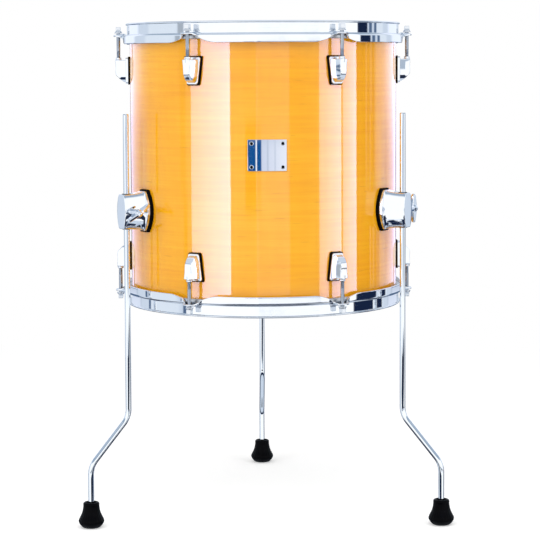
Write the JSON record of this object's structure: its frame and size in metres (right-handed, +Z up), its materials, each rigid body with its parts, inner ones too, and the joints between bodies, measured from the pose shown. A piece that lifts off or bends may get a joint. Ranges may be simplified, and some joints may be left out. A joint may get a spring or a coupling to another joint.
{
  "type": "floor tom",
  "caption": "Free-standing low tom drum: lacquered wood shell between tensioned heads under flanged metal hoops, on bent height-adjustable legs with rubber feet.",
  "frame": {"origin": "on the floor under the middle of the whole object's footprint box; the drum's own axis is 45.35 mm in front of it (toward -Y) because one leg stands out behind", "axes": "+Z up along the drum's axis, -Y toward the front with the name plate, +X to the right as seen from the front"},
  "size_m": [0.4846, 0.4638, 0.6489],
  "materials": {
    "lacquered_maple": "amber stain under clear gloss lacquer",
    "badge_chrome": "polished, bare",
    "hoop_chrome": "polished",
    "cast_chrome": "polished die casting",
    "rod_chrome": "polished",
    "leg_chrome": "polished",
    "drum_film": "coated polyester film",
    "gasket_rubber": "satin",
    "foot_rubber": "moulded, semi gloss",
    "bush_nylon": "moulded"
  },
  "bodies": {
    "drum": {"shell": "lacquered_maple", "badge": "badge_chrome", "batter_head": "drum_film", "batter_hoop": "hoop_chrome", "batter_lug_1": "cast_chrome", "batter_lug_gasket_1": "gasket_rubber", "batter_lug_2": "cast_chrome", "batter_lug_gasket_2": "gasket_rubber", "batter_lug_3": "cast_chrome", "batter_lug_gasket_3": "gasket_rubber", "batter_lug_4": "cast_chrome", "batter_lug_gasket_4": "gasket_rubber", "batter_lug_5": "cast_chrome", "batter_lug_gasket_5": "gasket_rubber", "batter_lug_6": "cast_chrome", "batter_lug_gasket_6": "gasket_rubber", "resonant_head": "drum_film", "resonant_hoop": "hoop_chrome", "resonant_lug_1": "cast_chrome", "resonant_lug_gasket_1": "gasket_rubber", "resonant_lug_2": "cast_chrome", "resonant_lug_gasket_2": "gasket_rubber", "resonant_lug_3": "cast_chrome", "resonant_lug_gasket_3": "gasket_rubber", "resonant_lug_4": "cast_chrome", "resonant_lug_gasket_4": "gasket_rubber", "resonant_lug_5": "cast_chrome", "resonant_lug_gasket_5": "gasket_rubber", "resonant_lug_6": "cast_chrome", "resonant_lug_gasket_6": "gasket_rubber", "leg_bracket_left": "cast_chrome", "leg_bracket_gasket_left": "gasket_rubber", "leg_bracket_right": "cast_chrome", "leg_bracket_gasket_right": "gasket_rubber", "leg_bracket_rear": "cast_chrome", "leg_bracket_gasket_rear": "gasket_rubber"},
    "batter_rod_1": {"batter_tension_rod_1": "rod_chrome"},
    "batter_rod_2": {"batter_tension_rod_2": "rod_chrome"},
    "batter_rod_3": {"batter_tension_rod_3": "rod_chrome"},
    "batter_rod_4": {"batter_tension_rod_4": "rod_chrome"},
    "batter_rod_5": {"batter_tension_rod_5": "rod_chrome"},
    "batter_rod_6": {"batter_tension_rod_6": "rod_chrome"},
    "resonant_rod_1": {"resonant_tension_rod_1": "rod_chrome"},
    "resonant_rod_2": {"resonant_tension_rod_2": "rod_chrome"},
    "resonant_rod_3": {"resonant_tension_rod_3": "rod_chrome"},
    "resonant_rod_4": {"resonant_tension_rod_4": "rod_chrome"},
    "resonant_rod_5": {"resonant_tension_rod_5": "rod_chrome"},
    "resonant_rod_6": {"resonant_tension_rod_6": "rod_chrome"},
    "wing_bolt_left": {"wing_bolt_left": "cast_chrome"},
    "leg_bush_left": {"leg_bush_left": "bush_nylon"},
    "leg_left": {"leg_left": "leg_chrome", "foot_left": "foot_rubber"},
    "wing_bolt_right": {"wing_bolt_right": "cast_chrome"},
    "leg_bush_right": {"leg_bush_right": "bush_nylon"},
    "leg_right": {"leg_right": "leg_chrome", "foot_right": "foot_rubber"},
    "wing_bolt_rear": {"wing_bolt_rear": "cast_chrome"},
    "leg_bush_rear": {"leg_bush_rear": "bush_nylon"},
    "leg_rear": {"leg_rear": "leg_chrome", "foot_rear": "foot_rubber"}
  },
  "joints": [
    {"name": "batter_rod_1_turn", "type": "hinge", "parent": "drum", "child": "batter_rod_1", "pos_m": [0.0965, -0.21249, 0.6404], "axis": [0, 0, 1], "range_deg": [-450, 1170]},
    {"name": "batter_rod_2_turn", "type": "hinge", "parent": "drum", "child": "batter_rod_2", "pos_m": [0.193, -0.04535, 0.6404], "axis": [0, 0, 1], "range_deg": [-450, 1170]},
    {"name": "batter_rod_3_turn", "type": "hinge", "parent": "drum", "child": "batter_rod_3", "pos_m": [0.0965, 0.12179, 0.6404], "axis": [0, 0, 1], "range_deg": [-450, 1170]},
    {"name": "batter_rod_4_turn", "type": "hinge", "parent": "drum", "child": "batter_rod_4", "pos_m": [-0.0965, 0.12179, 0.6404], "axis": [0, 0, 1], "range_deg": [-450, 1170]},
    {"name": "batter_rod_5_turn", "type": "hinge", "parent": "drum", "child": "batter_rod_5", "pos_m": [-0.193, -0.04535, 0.6404], "axis": [0, 0, 1], "range_deg": [-450, 1170]},
    {"name": "batter_rod_6_turn", "type": "hinge", "parent": "drum", "child": "batter_rod_6", "pos_m": [-0.0965, -0.21249, 0.6404], "axis": [0, 0, 1], "range_deg": [-450, 1170]},
    {"name": "resonant_rod_1_turn", "type": "hinge", "parent": "drum", "child": "resonant_rod_1", "pos_m": [0.0965, -0.21249, 0.2848], "axis": [0, 0, -1], "range_deg": [-450, 1170]},
    {"name": "resonant_rod_2_turn", "type": "hinge", "parent": "drum", "child": "resonant_rod_2", "pos_m": [0.193, -0.04535, 0.2848], "axis": [0, 0, -1], "range_deg": [-450, 1170]},
    {"name": "resonant_rod_3_turn", "type": "hinge", "parent": "drum", "child": "resonant_rod_3", "pos_m": [0.0965, 0.12179, 0.2848], "axis": [0, 0, -1], "range_deg": [-450, 1170]},
    {"name": "resonant_rod_4_turn", "type": "hinge", "parent": "drum", "child": "resonant_rod_4", "pos_m": [-0.0965, 0.12179, 0.2848], "axis": [0, 0, -1], "range_deg": [-450, 1170]},
    {"name": "resonant_rod_5_turn", "type": "hinge", "parent": "drum", "child": "resonant_rod_5", "pos_m": [-0.193, -0.04535, 0.2848], "axis": [0, 0, -1], "range_deg": [-450, 1170]},
    {"name": "resonant_rod_6_turn", "type": "hinge", "parent": "drum", "child": "resonant_rod_6", "pos_m": [-0.0965, -0.21249, 0.2848], "axis": [0, 0, -1], "range_deg": [-450, 1170]},
    {"name": "wing_bolt_left_turn", "type": "hinge", "parent": "drum", "child": "wing_bolt_left", "pos_m": [-0.17823, -0.14825, 0.4056], "axis": [0.5, -0.866, 0], "range_deg": [0, 630]},
    {"name": "leg_left_swivel", "type": "hinge", "parent": "drum", "child": "leg_bush_left", "pos_m": [-0.17823, -0.14825, 0.4056], "axis": [0, 0, 1], "continuous": true},
    {"name": "leg_left_height", "type": "slide", "parent": "leg_bush_left", "child": "leg_left", "axis": [0, 0, 1], "range_m": [-0.09, 0.1]},
    {"name": "wing_bolt_right_turn", "type": "hinge", "parent": "drum", "child": "wing_bolt_right", "pos_m": [0.17823, -0.14825, 0.4056], "axis": [0.5, 0.866, 0], "range_deg": [0, 630]},
    {"name": "leg_right_swivel", "type": "hinge", "parent": "drum", "child": "leg_bush_right", "pos_m": [0.17823, -0.14825, 0.4056], "axis": [0, 0, 1], "continuous": true},
    {"name": "leg_right_height", "type": "slide", "parent": "leg_bush_right", "child": "leg_right", "axis": [0, 0, 1], "range_m": [-0.09, 0.1]},
    {"name": "wing_bolt_rear_turn", "type": "hinge", "parent": "drum", "child": "wing_bolt_rear", "pos_m": [0, 0.16045, 0.4056], "axis": [-1, 0, 0], "range_deg": [0, 630]},
    {"name": "leg_rear_swivel", "type": "hinge", "parent": "drum", "child": "leg_bush_rear", "pos_m": [0, 0.16045, 0.4056], "axis": [0, 0, 1], "continuous": true},
    {"name": "leg_rear_height", "type": "slide", "parent": "leg_bush_rear", "child": "leg_rear", "axis": [0, 0, 1], "range_m": [-0.09, 0.1]}
  ]
}
